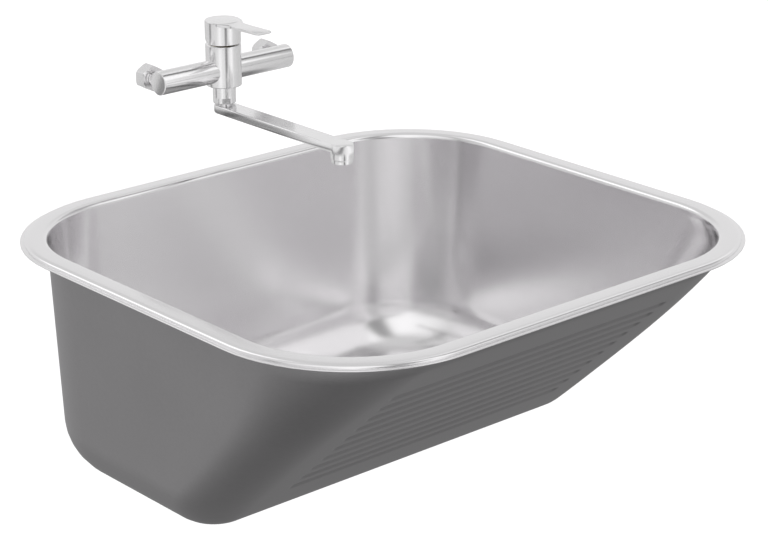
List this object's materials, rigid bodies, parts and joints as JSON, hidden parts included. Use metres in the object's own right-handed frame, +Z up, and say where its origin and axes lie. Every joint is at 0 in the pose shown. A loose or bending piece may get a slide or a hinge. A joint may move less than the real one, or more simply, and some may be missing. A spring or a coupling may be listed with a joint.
{
  "type": "mop service sink with mixer tap",
  "caption": "Inset stainless steel mop sink with a sloping pressed washboard and basket waste, and a wall-mounted single-lever mixer with a swivel spout.",
  "frame": {"origin": "middle of the rim outline, on the worktop plane (underside of the rim lip)", "axes": "+X to the right along the longer side, +Y from the user to the wall, +Z up"},
  "size_m": [0.6, 0.56, 0.456],
  "materials": {
    "satin_steel": "satin",
    "bright_steel": "polished",
    "rubber": "matte",
    "foam": "matte",
    "white_plastic": "matte",
    "ivory_plastic": "matte",
    "grey_plastic": "matte",
    "brass": "machined",
    "ceramic": "lapped ceramic"
  },
  "bodies": {
    "sink": {"sink_bowl": "satin_steel", "rim_seal": "foam", "waste_flange": "satin_steel", "waste_top_seal": "rubber", "waste_gasket": "rubber", "waste_body": "white_plastic", "waste_screw": "satin_steel", "tap_body": "bright_steel", "union_nuts": "bright_steel", "inlet_washers": "rubber", "cartridge_housing": "ivory_plastic", "cartridge_nut": "brass", "cartridge_seals": "rubber", "fixed_disc": "ceramic", "swivel_nut": "bright_steel", "friction_ring": "ivory_plastic"},
    "rotor": {"rotor": "ivory_plastic", "pivot_pin": "satin_steel"},
    "lever": {"stem": "brass", "lever_handle": "bright_steel", "handle_screw": "satin_steel"},
    "discs": {"moving_disc": "ceramic", "disc_carrier": "ivory_plastic"},
    "spout": {"spout": "bright_steel", "spout_o_rings": "rubber", "aerator_washer": "rubber", "aerator_insert": "grey_plastic", "aerator_housing": "bright_steel"},
    "basket": {"strainer_basket": "satin_steel", "basket_seal": "rubber"}
  },
  "joints": [
    {"name": "lever_turn", "type": "hinge", "parent": "sink", "child": "rotor", "pos_m": [0, 0.247, 0.13143], "axis": [0, 0, 1], "range_deg": [-50, 50]},
    {"name": "lever_lift", "type": "hinge", "parent": "rotor", "child": "lever", "pos_m": [0, 0.247, 0.13143], "axis": [-1, 0, 0], "range_deg": [0, 22]},
    {"name": "disc_slide", "type": "slide", "parent": "rotor", "child": "discs", "axis": [0, -1, 0], "range_m": [0, 0.0035]},
    {"name": "spout_swivel", "type": "hinge", "parent": "sink", "child": "spout", "pos_m": [0, 0.247, 0.09], "axis": [0, 0, 1], "range_deg": [-100, 100]},
    {"name": "basket_lift", "type": "slide", "parent": "sink", "child": "basket", "axis": [0, 0, 1], "range_m": [0, 0.08]}
  ],
  "couplings": [
    {"joint": "disc_slide", "follows": "lever_lift", "m_per_rad": 0.008945}
  ]
}
